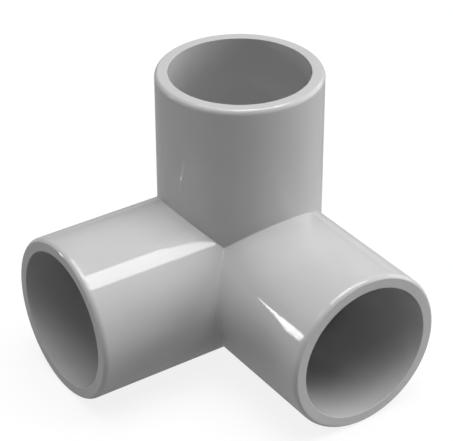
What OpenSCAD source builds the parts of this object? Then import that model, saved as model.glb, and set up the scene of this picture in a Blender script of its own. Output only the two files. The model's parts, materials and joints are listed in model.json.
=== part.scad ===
// Three-way corner elbow for plastic pipe, moulded as one piece.
// Three equal sockets leave one corner at right angles: along +X, along -Y and along +Z.
// The elbow lies on its two level hubs, and the origin is at the middle of its footprint.

/* [Pipe] */
// Outer diameter of the pipe that goes into each socket
pipe_d = 42.16; // [25:0.01:60]
// How much wider than the pipe a socket is, across its diameter
slip_gap = 0.04; // [0.02:0.02:0.4]

/* [Sockets] */
// Depth of each socket, from its mouth to the ledge that stops the pipe
socket_depth = 35.5; // [16:0.5:60]
// Width of the ledge that stops the pipe, about the pipe's own wall
ledge_w = 3.6; // [1:0.1:6]
// Plastic left between the side of one socket and the ledge of the next
web = 6.9; // [2:0.1:15]

/* [Body] */
// Wall around the sockets
wall = 3.9; // [2.6:0.1:8]
// Radius of the rounding on each mouth's outer edge
rim_round = 1.8; // [0.6:0.1:2]
// How much of that rounding the mouth's flat face trims off, so that the face ends in a crisp edge
rim_trim = 0.2; // [0:0.05:0.4]
// Radius of the rounding on each mouth's inner edge
lip_round = 0.15; // [0.1:0.05:0.5]

/* [Hidden] */
$fn = 128;

socket_r = (pipe_d + slip_gap) / 2;
hub_r = socket_r + wall;
waterway_r = socket_r - ledge_w;
// Heights along each hub's axis, from the crossing of the three axes
ledge_z = socket_r + web;
mouth_z = ledge_z + socket_depth;
// How far a cutter runs past the face that it opens
overrun = 1;

// The crossing of the axes, from the middle of the footprint
side_shift = (mouth_z - hub_r) / 2;
crossing = [-side_shift, side_shift, hub_r];

pvc_grey = [0.72, 0.72, 0.72];

// Turns a shape that stands on +Z to each of the three hubs
module each_hub() {
    for (turn = [[0, 0, 0], [0, 90, 0], [90, 0, 0]])
        rotate(turn)
            children();
}

// What a rounding of radius r takes off a sharp edge that lies at the origin, with the solid
// on its -X and -Y side
module rounding_waste(r) {
    difference() {
        translate([-r, -r])
            square(r + overrun);
        translate([-r, -r])
            circle(r);
    }
}

// Half section of a hub without its bore, from the crossing to its mouth. The rounding ends above the
// mouth's face, which trims it.
module hub_section() {
    difference() {
        square([hub_r, mouth_z]);
        translate([hub_r, mouth_z + rim_trim])
            rounding_waste(rim_round);
    }
}

// Half section of a bore: the waterway, the wider socket beyond the ledge, and the mouth's lip
module bore_section() {
    square([waterway_r, ledge_z]);
    translate([0, ledge_z])
        square([socket_r, socket_depth + overrun]);
    translate([socket_r, mouth_z])
        mirror([1, 0])
            rounding_waste(lip_round);
}

// The hubs meet in mitred creases, and a ball of their own radius closes the heel
module hubs() {
    each_hub()
        rotate_extrude()
            hub_section();
    sphere(hub_r);
}

// The waterways meet in the same way
module bores() {
    each_hub()
        rotate_extrude()
            bore_section();
    sphere(waterway_r);
}

module corner_elbow() {
    color(pvc_grey)
        translate(crossing)
            difference() {
                hubs();
                bores();
            }
}

corner_elbow();
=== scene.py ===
"""Three-way corner elbow for plastic pipe: the moulding's finished skin, its gloss and a small studio."""

import json
import math

import bpy
import numpy as np
from mathutils import Matrix, Vector


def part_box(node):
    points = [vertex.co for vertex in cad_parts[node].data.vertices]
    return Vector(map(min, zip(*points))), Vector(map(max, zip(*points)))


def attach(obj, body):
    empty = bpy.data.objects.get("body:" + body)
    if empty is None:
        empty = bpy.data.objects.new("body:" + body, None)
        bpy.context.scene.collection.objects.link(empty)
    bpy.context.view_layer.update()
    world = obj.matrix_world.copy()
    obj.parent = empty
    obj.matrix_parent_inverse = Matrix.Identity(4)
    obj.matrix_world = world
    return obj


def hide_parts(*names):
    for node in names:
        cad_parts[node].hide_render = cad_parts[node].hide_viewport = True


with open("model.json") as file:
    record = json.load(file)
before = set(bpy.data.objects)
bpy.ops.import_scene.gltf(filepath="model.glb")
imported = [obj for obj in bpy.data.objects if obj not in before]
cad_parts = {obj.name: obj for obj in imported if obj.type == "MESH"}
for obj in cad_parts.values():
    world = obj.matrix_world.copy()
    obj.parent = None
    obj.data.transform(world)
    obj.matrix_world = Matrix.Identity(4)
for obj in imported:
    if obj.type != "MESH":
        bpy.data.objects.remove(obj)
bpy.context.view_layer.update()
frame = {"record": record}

bl_info = {
    "name": "Pipe Corner Elbow",
    "version": (1, 0, 0),
    "blender": (4, 5, 0),
    "location": "3D View > Sidebar > Pipe Elbow",
    "description": "Builds the finished skin of a three-way pipe corner elbow and a studio to show it in",
    "category": "Object",
}

NODE = "corner_elbow"
BODY = "root"


def mount(name):
    """The record's mount of that name."""
    return next(m for m in frame["record"]["mounts"] if m["name"] == name)


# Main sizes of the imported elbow, in metres. The pipe axes cross above the corner of the footprint,
# each hub runs out to the side of the box, and the mounts sit on the ledges.
TOP = mount("socket_top")
RIGHT = mount("socket_right")
BOX_LOW, BOX_HIGH = (Vector(corner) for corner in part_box(NODE))
CROSSING = Vector((TOP["pos_m"][0], TOP["pos_m"][1], RIGHT["pos_m"][2]))
HUB_RADIUS = CROSSING.z - BOX_LOW.z
MOUTH_HEIGHT = BOX_HIGH.z - CROSSING.z
SOCKET_RADIUS = TOP["dims"]["r_mm"] / 1000
LEDGE_HEIGHT = TOP["pos_m"][2] - CROSSING.z

# Steps of the grids. Those round a hub are a multiple of eight, so that creases start and end on a step.
ROUND_STEPS = 192
QUARTER_STEPS = ROUND_STEPS // 4
CREASE_STEPS = ROUND_STEPS * 3 // 8
WALL_STEPS = 20
FLAT_STEPS = 6
ARC_STEPS = 8
# Points closer than this, in metres, and directions closer than this, in radians, count as one
MERGE_DISTANCE = 1e-6
SAME_ANGLE = 1e-6

# Noise patterns of the plastic: scale per metre and detail. Their middle part is spread over a range.
CLOUDS = (55, 3)
POLISH = (140, 4)
ORANGE_PEEL = (420, 2)
GRAIN = (2600, 2)
NOISE_MIDDLE = (0.3, 0.7)
# The least and the most roughness, as shares of the mean
POLISH_SHARES = (0.75, 1.25)

# The floor, with a painted pool of light: its tone is paler near the elbow and darker further out, and it
# gives off a faint painted glow in that tone. Tones, glows and shares are linear, where 1 is white, and
# lengths are in metres. A fade starts and ends at two distances from the pool's centre.
FLOOR_HALF = 6.0
POOL_CENTRE = (0.01, 0.035)
POOL_FADE = (0.05, 0.12)
POOL_TONE = 0.29
BEYOND_POOL_TONE = 0.19
PAINTED_FLOOR_GLOW = 0.5
# What the camera sees of the floor: a share of plain white, and for the rest a surface that takes the shadow
WHITE_SHARE = 0.85
SHADOW_TONE = 0.9
SHADOW_FADE = (0.15, 0.5)
# How much of the white floor and of the white wall the gloss mirrors
FLOOR_MIRROR_SHARE = 0.1
WALL_MIRROR_SHARE = 0.05
# Even light from all round
AIR_GLOW = 0.05
# How far the camera sees, in metres
CAMERA_REACH = 20
# Name, height in metres, place and sides as shares of the height, glow. No two lamps lie in one plane,
# because lamps that overlap there lose light.
OVERHEAD_LAMPS = [
    ("top_softbox", 3.0, 0.08, 0.0, 0.96, 0.80, 3.75),
    ("inner_softbox", 2.6, 0.08, 0.0, 0.30, 0.30, 5.0),
    ("edge_softbox", 2.8, 0.35, 0.50, 0.42, 0.28, 6.5),
]
# Name, distance in metres, azimuth, elevation, width and height in degrees, glow, and whether the gloss
# mirrors it
STANDING_LAMPS = [
    ("back_panel", 3.0, 158, 14, 64, 34, 1.7, True),
    ("back_fill", 2.6, 162, 16, 68, 32, 2.2, False),
    ("front_panel", 3.0, 0, 52, 60, 16, 1.33, True),
    ("small_spot", 3.0, -42.3, 8.6, 5.4, 8.2, 14.5, True),
    ("spot_fill", 2.8, -37.0, 8.8, 5.1, 7.8, 11.0, False),
]


class ElbowShape(bpy.types.PropertyGroup):
    """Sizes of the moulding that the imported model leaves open"""

    rim_round: bpy.props.FloatProperty(
        name="Rim rounding", description="Radius of each mouth's outer edge",
        default=0.0018, min=0.0004, max=0.002, unit="LENGTH", subtype="DISTANCE")
    rim_trim: bpy.props.FloatProperty(
        name="Rim trim", description="How much of the rim's rounding the flat end face cuts off",
        default=0.0002, min=0, max=0.0008, unit="LENGTH", subtype="DISTANCE")
    rim_edge: bpy.props.FloatProperty(
        name="Rim edge", description="Radius of the crisp edge between the end face and the rim's rounding",
        default=0.0001, min=0.00005, max=0.0003, unit="LENGTH", subtype="DISTANCE")
    lip_round: bpy.props.FloatProperty(
        name="Lip rounding", description="Radius of each mouth's inner edge",
        default=0.00015, min=0.0001, max=0.0005, unit="LENGTH", subtype="DISTANCE")
    crease_round: bpy.props.FloatProperty(
        name="Crease rounding", description="Radius in the creases where the hubs meet",
        default=0.0004, min=0.0001, max=0.003, unit="LENGTH", subtype="DISTANCE")
    ledge_round: bpy.props.FloatProperty(
        name="Ledge rounding",
        description="Radius on the edges inside, at the ledges and between the waterways",
        default=0.0003, min=0.0001, max=0.001, unit="LENGTH", subtype="DISTANCE")
    waterway_radius: bpy.props.FloatProperty(
        name="Waterway radius", description="Radius of the bore inside the ledges",
        default=0.0175, min=0.005, max=0.0205, unit="LENGTH", subtype="DISTANCE")


class ElbowFinish(bpy.types.PropertyGroup):
    """Colour and gloss of the moulded plastic"""

    colour: bpy.props.FloatVectorProperty(
        name="Colour", description="Colour of the plastic",
        default=(0.5, 0.5, 0.5), min=0, max=1, size=3, subtype="COLOR")
    roughness: bpy.props.FloatProperty(
        name="Roughness", description="Roughness of the polished mould's skin",
        default=0.075, min=0, max=1, subtype="FACTOR")
    cloudiness: bpy.props.FloatProperty(
        name="Cloudiness", description="How much the pigment's clouds lighten and darken the colour",
        default=0.02, min=0, max=0.2, subtype="FACTOR")
    peel_depth: bpy.props.FloatProperty(
        name="Orange peel", description="Depth of the skin's shallow waves, about 2 mm apart",
        default=0.000012, min=0, max=0.0002, unit="LENGTH", subtype="DISTANCE")
    grain_depth: bpy.props.FloatProperty(
        name="Grain", description="Depth of the skin's fine grain",
        default=0.000002, min=0, max=0.00002, unit="LENGTH", subtype="DISTANCE")
    gloss_index: bpy.props.FloatProperty(
        name="Refractive index", description="Refractive index of rigid PVC",
        default=1.54, min=1, max=2.5)


class StudioSettings(bpy.types.PropertyGroup):
    """Place, aim and lens of the camera"""

    azimuth: bpy.props.FloatProperty(
        name="Azimuth", description="Where the camera stands round the elbow, from the front to the right",
        default=math.radians(55.9), unit="ROTATION", subtype="ANGLE")
    elevation: bpy.props.FloatProperty(
        name="Elevation", description="How far the camera looks down",
        default=math.radians(32.0), unit="ROTATION", subtype="ANGLE")
    roll: bpy.props.FloatProperty(
        name="Roll", description="Tilt of the camera about its own axis",
        default=math.radians(-0.17), unit="ROTATION", subtype="ANGLE")
    distance: bpy.props.FloatProperty(
        name="Distance", description="From the camera to the point it aims at",
        default=0.555, min=0.1, unit="LENGTH", subtype="DISTANCE")
    lens: bpy.props.FloatProperty(
        name="Lens", description="Focal length of the camera, in millimetres",
        default=142.3, min=10)
    aim_right: bpy.props.FloatProperty(
        name="Aim right", description="Right shift of the aim from the crossing of the pipe axes",
        default=-0.0040, unit="LENGTH", subtype="DISTANCE")
    aim_up: bpy.props.FloatProperty(
        name="Aim up", description="Upward shift of the aim from the crossing of the pipe axes",
        default=0.01013, unit="LENGTH", subtype="DISTANCE")


def spread(start, stop, steps):
    """Numbers from start to stop whose spacing follows half a cosine wave, so they crowd at both ends."""
    turn = np.linspace(0, np.pi, steps + 1)
    return start + (stop - start) * (1 - np.cos(turn)) / 2


def arc(centre_height, centre_radius, size, start, stop, steps=ARC_STEPS):
    """A circular arc in a half section: the centre plus the size times (sine, cosine) of an angle.

    The angle is measured from the outward radial direction towards the mouth, and the result is
    two arrays, heights along the hub's axis and radii from it.
    """
    turn = np.radians(np.linspace(start, stop, steps + 1))
    return centre_height + size * np.sin(turn), centre_radius + size * np.cos(turn)


def seam_height(turn, radius, fillet):
    """Height at which a round skin leaves its hub: (radius + fillet) times the larger of 0, cos and sin.

    Two equal pipes at right angles meet in the plane where their heights are equal. A ball of the
    fillet's radius that rolls in that crease touches each of them at this height.
    """
    return (radius + fillet) * np.maximum(0, np.maximum(np.cos(turn), np.sin(turn)))


def mould_section(shape, turn):
    """Half section of a hub from its outer seam over the mouth and down the bore to the inner seam.

    Straight stretches join arcs. Returns heights, one row for each point of the section and one
    column for each turn, and the radius of each row.
    """
    rim, crisp, lip, edge = shape.rim_round, shape.rim_edge, shape.lip_round, shape.ledge_round
    outer_seam = seam_height(turn, HUB_RADIUS, shape.crease_round)
    inner_seam = seam_height(turn, shape.waterway_radius, shape.ledge_round)
    # The crisp edge is a small arc inside the rim's own, and the end face touches it
    rim_centre = MOUTH_HEIGHT + shape.rim_trim - rim
    rim_turn = math.asin((MOUTH_HEIGHT - crisp - rim_centre) / (rim - crisp))
    crisp_radius = HUB_RADIUS - rim + (rim - crisp) * math.cos(rim_turn)
    rim_turn = math.degrees(rim_turn)
    rounds = [
        arc(rim_centre, HUB_RADIUS - rim, rim, 0, rim_turn),
        arc(MOUTH_HEIGHT - crisp, crisp_radius, crisp, rim_turn, 90),
        arc(MOUTH_HEIGHT - lip, SOCKET_RADIUS + lip, lip, 90, 180),
        arc(LEDGE_HEIGHT + edge, SOCKET_RADIUS - edge, edge, 0, -90),
        arc(LEDGE_HEIGHT - edge, shape.waterway_radius + edge, edge, 90, 180),
    ]
    heights, radii = [], []
    last = None
    for rise, out in rounds:
        if last is None:
            share = spread(0, 1, WALL_STEPS)[:-1, None]
            heights.append(outer_seam + (rise[0] - outer_seam) * share)
            radii.append(np.full(WALL_STEPS, HUB_RADIUS))
        elif math.hypot(rise[0] - last[0], out[0] - last[1]) < MERGE_DISTANCE:
            rise, out = rise[1:], out[1:]
        else:
            steps = WALL_STEPS if abs(rise[0] - last[0]) > abs(out[0] - last[1]) else FLAT_STEPS
            level = spread(last[0], rise[0], steps)[1:-1, None]
            heights.append(np.repeat(level, len(turn), axis=1))
            radii.append(spread(last[1], out[0], steps)[1:-1])
        heights.append(np.repeat(rise[:, None], len(turn), axis=1))
        radii.append(out)
        last = rise[-1], out[-1]
    share = spread(0, 1, WALL_STEPS)[1:, None]
    heights.append(last[0] + (inner_seam - last[0]) * share)
    radii.append(np.full(WALL_STEPS, shape.waterway_radius))
    return np.concatenate(heights), np.concatenate(radii)


def grid_faces(rows, columns, flip=False):
    """Corner numbers of the quads of a grid whose points are numbered row by row."""
    first = (np.arange(rows - 1)[:, None] * columns + np.arange(columns - 1)).ravel()
    faces = np.stack([first, first + 1, first + columns + 1, first + columns], axis=1)
    return faces[:, ::-1] if flip else faces


def hub_patch(shape):
    """One hub, standing on the first local axis: its section carried round a full circle.

    A point is (height, radius times cos of the turn, radius times sin of the turn).
    """
    turn = np.linspace(0, 2 * np.pi, ROUND_STEPS + 1)
    heights, radii = mould_section(shape, turn)
    out = radii[:, None]
    points = np.stack([heights, out * np.cos(turn), out * np.sin(turn)], axis=-1)
    return points.reshape(-1, 3), grid_faces(*heights.shape)


def between(a, b, share):
    """Unit vectors that share the angle between a and b.

    Each is a times the sine of the part left plus b times the sine of the part done, over the sine
    of the whole angle.
    """
    angle = np.arccos(np.clip(np.sum(a * b, axis=-1, keepdims=True), -1, 1))
    whole = np.sin(np.maximum(angle, SAME_ANGLE))
    mixed = (np.sin((1 - share) * angle) * a + np.sin(share * angle) * b) / whole
    return np.where(angle < SAME_ANGLE, a, mixed)


def crease_patch(radius, fillet, flip):
    """The round bottom of the crease between the first two hubs.

    A ball of the fillet's radius rolls along it. Its centre is (radius + fillet) times
    (cos, cos, sin) of the turn, it touches the hubs along minus (0, cos, sin) and minus
    (cos, 0, sin), and each row of points shares the angle between those two directions.
    """
    turn = np.linspace(-np.pi / 2, np.pi / 4, CREASE_STEPS + 1)
    cos, sin, zero = np.cos(turn), np.sin(turn), np.zeros_like(turn)
    centre = (radius + fillet) * np.stack([cos, cos, sin], axis=-1)
    to_first = -np.stack([zero, cos, sin], axis=-1)
    to_second = -np.stack([cos, zero, sin], axis=-1)
    share = np.linspace(0, 1, ARC_STEPS + 1)[:, None, None]
    points = centre + fillet * between(to_first, to_second, share)
    return points.reshape(-1, 3), grid_faces(ARC_STEPS + 1, CREASE_STEPS + 1, flip)


def ball_patch(centre, size, corners, steps, flip):
    """A triangle on a ball. Rows run from the side between two corners up to the third one.

    Each row shares the angle between the points that its two ends have reached on the sides.
    """
    first, second, third = (np.array(c, float) / np.linalg.norm(c) for c in corners)
    share = np.linspace(0, 1, steps + 1)
    left = between(first, third, share[:, None])[:, None]
    right = between(second, third, share[:, None])[:, None]
    points = np.array(centre, float) + size * between(left, right, share[None, :, None])
    return points.reshape(-1, 3), grid_faces(steps + 1, steps + 1, flip)


def skin_corner(radius, fillet, inside):
    """What one skin has besides the hubs: three creases, the point where they meet, and the heel's ball."""
    crease = crease_patch(radius, fillet, not inside)
    apex = [(radius + fillet) / math.sqrt(2)] * 3
    meeting = ball_patch(apex, fillet, [(0, -1, -1), (-1, 0, -1), (-1, -1, 0)], ARC_STEPS, inside)
    heel = ball_patch((0, 0, 0), radius, [(-1, 0, 0), (0, -1, 0), (0, 0, -1)], QUARTER_STEPS, not inside)
    return crease, [meeting, heel]


def elbow_patches(shape):
    """All patches of the moulding in local axes that run along the three hubs.

    What belongs to one hub or crease is made once and handed on by swapping the axes in turn.
    """
    patches = []
    turned = [hub_patch(shape)]
    for radius, fillet, inside in [(HUB_RADIUS, shape.crease_round, False),
                                   (shape.waterway_radius, shape.ledge_round, True)]:
        crease, single = skin_corner(radius, fillet, inside)
        turned.append(crease)
        patches += single
    for points, faces in turned:
        for shift in range(3):
            patches.append((np.roll(points, shift, axis=1), faces))
    return patches


def to_frame(points):
    """Local axes to the row frame: the hubs run along +X, +Z and -Y, in that order."""
    return points[:, [0, 2, 1]] * np.array([1, -1, 1]) + np.array(CROSSING)


def sewn(patches):
    """Joins patches into one net of points and quads, with points that coincide made one.

    Points are compared on a grid of the merge distance. A quad that has lost a side becomes a
    triangle, and one that has lost its area goes.
    """
    starts = np.cumsum([0] + [len(points) for points, _ in patches])
    points = np.concatenate([points for points, _ in patches])
    faces = np.concatenate([faces + start for (_, faces), start in zip(patches, starts)])
    keys = np.round(points / MERGE_DISTANCE).astype(np.int64)
    _, first, same = np.unique(keys, axis=0, return_index=True, return_inverse=True)
    faces = same.ravel()[faces]
    fresh = faces != np.roll(faces, 1, axis=1)
    quads = faces[fresh.all(axis=1)]
    short = fresh.sum(axis=1) == 3
    triangles = faces[short][fresh[short]].reshape(-1, 3)
    whole = (triangles != np.roll(triangles, 1, axis=1)).all(axis=1)
    return points[first], quads, triangles[whole]


def new_mesh_object(name, points, quads, triangles):
    """A smooth-shaded mesh object at the origin, filled straight from arrays."""
    mesh = bpy.data.meshes.new(name)
    mesh.vertices.add(len(points))
    mesh.vertices.foreach_set("co", points.astype(np.float32).ravel())
    corners = np.concatenate([quads.ravel(), triangles.ravel()]).astype(np.int32)
    sizes = np.concatenate([np.full(len(quads), 4), np.full(len(triangles), 3)]).astype(np.int32)
    mesh.loops.add(len(corners))
    mesh.loops.foreach_set("vertex_index", corners)
    mesh.polygons.add(len(sizes))
    mesh.polygons.foreach_set("loop_start", np.concatenate([[0], np.cumsum(sizes)[:-1]]).astype(np.int32))
    mesh.update(calc_edges=True)
    mesh.polygons.foreach_set("use_smooth", np.ones(len(sizes), bool))
    if mesh.validate():
        raise RuntimeError(f"{name}: the mesh had faults")
    piece = bpy.data.objects.new(name, mesh)
    bpy.context.collection.objects.link(piece)
    return piece


def noise(nodes, links, place, scale, detail):
    """A noise pattern on coordinates in metres."""
    pattern = nodes.new("ShaderNodeTexNoise")
    pattern.inputs["Scale"].default_value = scale
    pattern.inputs["Detail"].default_value = detail
    links.new(place, pattern.inputs["Vector"])
    return pattern.outputs["Fac"]


def map_range(nodes, links, value, source, target, curve="LINEAR"):
    """Carries a value from one range to another, and holds it at their ends."""
    change = nodes.new("ShaderNodeMapRange")
    change.interpolation_type = curve
    for name, amount in zip(("From Min", "From Max", "To Min", "To Max"), (*source, *target)):
        change.inputs[name].default_value = amount
    links.new(value, change.inputs["Value"])
    return change.outputs["Result"]


def grey(tone):
    """A neutral colour of that tone, for a shader's socket."""
    return tone, tone, tone, 1


def plastic_material(finish):
    """Rigid PVC from a polished mould.

    Pigment clouds change the grey a little, the gloss varies with the mould's polish and with
    handling, and the skin has a shallow orange peel with a finer grain in it.
    """
    material = bpy.data.materials.new("glossy_pvc")
    material.use_nodes = True
    nodes, links = material.node_tree.nodes, material.node_tree.links
    shader = nodes["Principled BSDF"]
    shader.inputs["IOR"].default_value = finish.gloss_index
    place = nodes.new("ShaderNodeTexCoord").outputs["Object"]

    clouds = noise(nodes, links, place, *CLOUDS)
    tone = nodes.new("ShaderNodeMix")
    tone.data_type = "RGBA"
    for end, change in (("A", -finish.cloudiness), ("B", finish.cloudiness)):
        tone.inputs[end].default_value = (*[part * (1 + change) for part in finish.colour], 1)
    links.new(map_range(nodes, links, clouds, NOISE_MIDDLE, (0, 1)), tone.inputs["Factor"])
    links.new(tone.outputs["Result"], shader.inputs["Base Color"])

    polish = noise(nodes, links, place, *POLISH)
    sheen = [finish.roughness * share for share in POLISH_SHARES]
    links.new(map_range(nodes, links, polish, NOISE_MIDDLE, sheen), shader.inputs["Roughness"])

    normal = None
    for name, pattern, depth in (("orange_peel", ORANGE_PEEL, finish.peel_depth),
                                 ("grain", GRAIN, finish.grain_depth)):
        bump = nodes.new("ShaderNodeBump")
        bump.name = name
        bump.inputs["Distance"].default_value = depth
        links.new(noise(nodes, links, place, *pattern), bump.inputs["Height"])
        if normal:
            links.new(normal, bump.inputs["Normal"])
        normal = bump.outputs["Normal"]
    links.new(normal, shader.inputs["Normal"])
    return material


class ELBOW_OT_moulding(bpy.types.Operator):
    """Builds the elbow's skin from its formulas and gives it the plastic's finish"""

    bl_idname = "elbow.moulding"
    bl_label = "Build Moulding"
    bl_options = {"REGISTER", "UNDO"}

    def execute(self, context):
        points, quads, triangles = sewn(elbow_patches(context.scene.elbow_shape))
        moulding = new_mesh_object("elbow_moulding", to_frame(points), quads, triangles)
        moulding.data.materials.append(plastic_material(context.scene.elbow_finish))
        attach(moulding, BODY)
        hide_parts(NODE)
        return {"FINISHED"}


def view_axes(azimuth, elevation):
    """Unit vectors from the elbow to the camera, to the picture's right and to its top."""
    back = Vector((math.sin(azimuth) * math.cos(elevation), -math.cos(azimuth) * math.cos(elevation),
                   math.sin(elevation)))
    right = Vector((math.cos(azimuth), math.sin(azimuth), 0))
    return back, right, back.cross(right)


def place_camera(studio):
    """Stands the camera where the photograph was taken from."""
    back, right, up = view_axes(studio.azimuth, studio.elevation)
    camera = bpy.data.objects.new("camera", bpy.data.cameras.new("camera"))
    camera.data.lens = studio.lens
    camera.data.clip_end = CAMERA_REACH
    aim = CROSSING + right * studio.aim_right + up * studio.aim_up
    camera.location = aim + back * studio.distance
    tilt = (-back).to_track_quat("-Z", "Y").to_matrix()
    camera.rotation_euler = (tilt @ Matrix.Rotation(studio.roll, 3, "Z")).to_euler()
    bpy.context.collection.objects.link(camera)
    bpy.context.scene.camera = camera


def hang_lamp(name, glow, sides, spot, turned, mirrored):
    """A rectangular soft box that shines evenly, with its sides in metres, hidden from the camera.

    Its strength is the glow times pi times its area, so the glow is the brightness that a mirror
    would show, where 1 is a white surface in full light. A lamp that isn't mirrored fills in only.
    """
    lamp = bpy.data.lights.new(name, "AREA")
    lamp.shape = "RECTANGLE"
    lamp.size, lamp.size_y = sides
    lamp.energy = glow * math.pi * sides[0] * sides[1]
    box = bpy.data.objects.new(name, lamp)
    box.location = CROSSING + spot
    box.rotation_euler = turned
    box.visible_camera = False
    box.visible_glossy = mirrored
    bpy.context.collection.objects.link(box)


def overhead_lamp(name, height, x, y, wide, deep, glow):
    """A level soft box above the elbow. Its place and sides are shares of its height."""
    hang_lamp(name, glow, (wide * height, deep * height), Vector((x, y, 1)) * height, (0, 0, 0), True)


def standing_lamp(name, distance, azimuth, elevation, wide, high, glow, mirrored):
    """A soft box that faces the elbow. Its direction and sides are angles in degrees at the elbow."""
    sides = [2 * distance * math.tan(math.radians(angle) / 2) for angle in (wide, high)]
    back, _, _ = view_axes(math.radians(azimuth), math.radians(elevation))
    turned = (-back).to_track_quat("-Z", "Y").to_euler()
    hang_lamp(name, glow, sides, back * distance, turned, mirrored)


def looked_at(nodes, links, mirrored):
    """1 for what the camera sees straight, the mirrored share for what gloss mirrors, and otherwise 0."""
    paths = nodes.new("ShaderNodeLightPath")
    share, seen = (nodes.new("ShaderNodeMath") for _ in range(2))
    share.operation, seen.operation = "MULTIPLY", "MAXIMUM"
    links.new(paths.outputs["Is Glossy Ray"], share.inputs[0])
    share.inputs[1].default_value = mirrored
    links.new(paths.outputs["Is Camera Ray"], seen.inputs[0])
    links.new(share.outputs["Value"], seen.inputs[1])
    return seen.outputs["Value"]


def outward(nodes, links, fade, near, far):
    """A near value that changes smoothly to a far one, over a fade of distances from the pool's centre."""
    away = nodes.new("ShaderNodeVectorMath")
    away.operation = "DISTANCE"
    away.inputs[1].default_value = (*POOL_CENTRE, BOX_LOW.z)
    links.new(nodes.new("ShaderNodeTexCoord").outputs["Object"], away.inputs[0])
    return map_range(nodes, links, away.outputs["Value"], fade, (near, far), "SMOOTHSTEP")


def floor_material():
    """A floor with a painted pool of light round the elbow, paler and faintly glowing there and darker
    further out, which the camera sees as one white floor.

    The elbow's shadow stays, because part of what the camera sees near the elbow is the light that
    reaches the floor. Light that bounces on to the elbow comes from the painted pool and the darker floor
    round it.
    """
    material = bpy.data.materials.new("studio_floor")
    material.use_nodes = True
    nodes, links = material.node_tree.nodes, material.node_tree.links
    nodes.clear()
    # Painted pool of light: the floor's tone is paler near the elbow and darker further out
    tone = outward(nodes, links, POOL_FADE, POOL_TONE, BEYOND_POOL_TONE)
    matt = nodes.new("ShaderNodeBsdfDiffuse")
    # Painted light: the floor glows faintly in its own tone, most near the elbow, even where the elbow
    # shades it
    glow = nodes.new("ShaderNodeEmission")
    glow.inputs["Strength"].default_value = PAINTED_FLOOR_GLOW
    lit = nodes.new("ShaderNodeAddShader")
    shadowed = nodes.new("ShaderNodeBsdfDiffuse")
    shadowed.inputs["Color"].default_value = grey(SHADOW_TONE)
    white = nodes.new("ShaderNodeEmission")
    white.inputs["Strength"].default_value = 1
    shown = nodes.new("ShaderNodeMixShader")
    choice = nodes.new("ShaderNodeMixShader")
    output = nodes.new("ShaderNodeOutputMaterial")
    links.new(tone, matt.inputs["Color"])
    links.new(tone, glow.inputs["Color"])
    links.new(matt.outputs["BSDF"], lit.inputs[0])
    links.new(glow.outputs["Emission"], lit.inputs[1])
    links.new(outward(nodes, links, SHADOW_FADE, WHITE_SHARE, 1), shown.inputs["Fac"])
    links.new(shadowed.outputs["BSDF"], shown.inputs[1])
    links.new(white.outputs["Emission"], shown.inputs[2])
    links.new(looked_at(nodes, links, FLOOR_MIRROR_SHARE), choice.inputs["Fac"])
    links.new(lit.outputs["Shader"], choice.inputs[1])
    links.new(shown.outputs["Shader"], choice.inputs[2])
    links.new(choice.outputs["Shader"], output.inputs["Surface"])
    return material


def lay_floor():
    """A square floor at the elbow's foot."""
    half, z = FLOOR_HALF, BOX_LOW.z
    corners = np.array([(-half, -half, z), (half, -half, z), (half, half, z), (-half, half, z)])
    floor = new_mesh_object("floor", corners, np.array([[0, 1, 2, 3]]), np.zeros((0, 3), int))
    floor.data.materials.append(floor_material())


def studio_world():
    """A faint even light from all round, which the camera sees as a pale wall."""
    world = bpy.data.worlds.new("studio")
    world.use_nodes = True
    nodes, links = world.node_tree.nodes, world.node_tree.links
    nodes.clear()
    air = nodes.new("ShaderNodeBackground")
    air.inputs["Strength"].default_value = AIR_GLOW
    wall = nodes.new("ShaderNodeBackground")
    wall.inputs["Strength"].default_value = 1
    for background in (air, wall):
        background.inputs["Color"].default_value = grey(1)
    choice = nodes.new("ShaderNodeMixShader")
    output = nodes.new("ShaderNodeOutputWorld")
    links.new(looked_at(nodes, links, WALL_MIRROR_SHARE), choice.inputs["Fac"])
    links.new(air.outputs["Background"], choice.inputs[1])
    links.new(wall.outputs["Background"], choice.inputs[2])
    links.new(choice.outputs["Shader"], output.inputs["Surface"])
    return world


class ELBOW_OT_studio(bpy.types.Operator):
    """Lays the floor, hangs the lamps, lights the background and places the camera"""

    bl_idname = "elbow.studio"
    bl_label = "Build Studio"
    bl_options = {"REGISTER", "UNDO"}

    def execute(self, context):
        scene = context.scene
        scene.view_settings.view_transform = "Standard"
        place_camera(scene.elbow_studio)
        lay_floor()
        for settings in OVERHEAD_LAMPS:
            overhead_lamp(*settings)
        for settings in STANDING_LAMPS:
            standing_lamp(*settings)
        scene.world = studio_world()
        return {"FINISHED"}


class ELBOW_PT_panel(bpy.types.Panel):
    """Lists the elbow's builders and their settings"""

    bl_idname = "ELBOW_PT_panel"
    bl_label = "Pipe Corner Elbow"
    bl_space_type = "VIEW_3D"
    bl_region_type = "UI"
    bl_category = "Pipe Elbow"

    def draw(self, context):
        for group, operator in SECTIONS:
            box = self.layout.box()
            for name in group:
                settings = getattr(context.scene, name)
                for prop in settings.__annotations__:
                    box.prop(settings, prop)
            box.operator(operator)


SECTIONS = [
    (("elbow_shape", "elbow_finish"), "elbow.moulding"),
    (("elbow_studio",), "elbow.studio"),
]
GROUPS = {"elbow_shape": ElbowShape, "elbow_finish": ElbowFinish, "elbow_studio": StudioSettings}
CLASSES = (*GROUPS.values(), ELBOW_OT_moulding, ELBOW_OT_studio, ELBOW_PT_panel)


def register():
    for cls in CLASSES:
        bpy.utils.register_class(cls)
    for name, group in GROUPS.items():
        setattr(bpy.types.Scene, name, bpy.props.PointerProperty(type=group))


def unregister():
    for name in GROUPS:
        delattr(bpy.types.Scene, name)
    for cls in reversed(CLASSES):
        bpy.utils.unregister_class(cls)


def main():
    """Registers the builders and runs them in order."""
    register()
    bpy.ops.elbow.moulding()
    bpy.ops.elbow.studio()


if __name__ == "__main__":
    main()
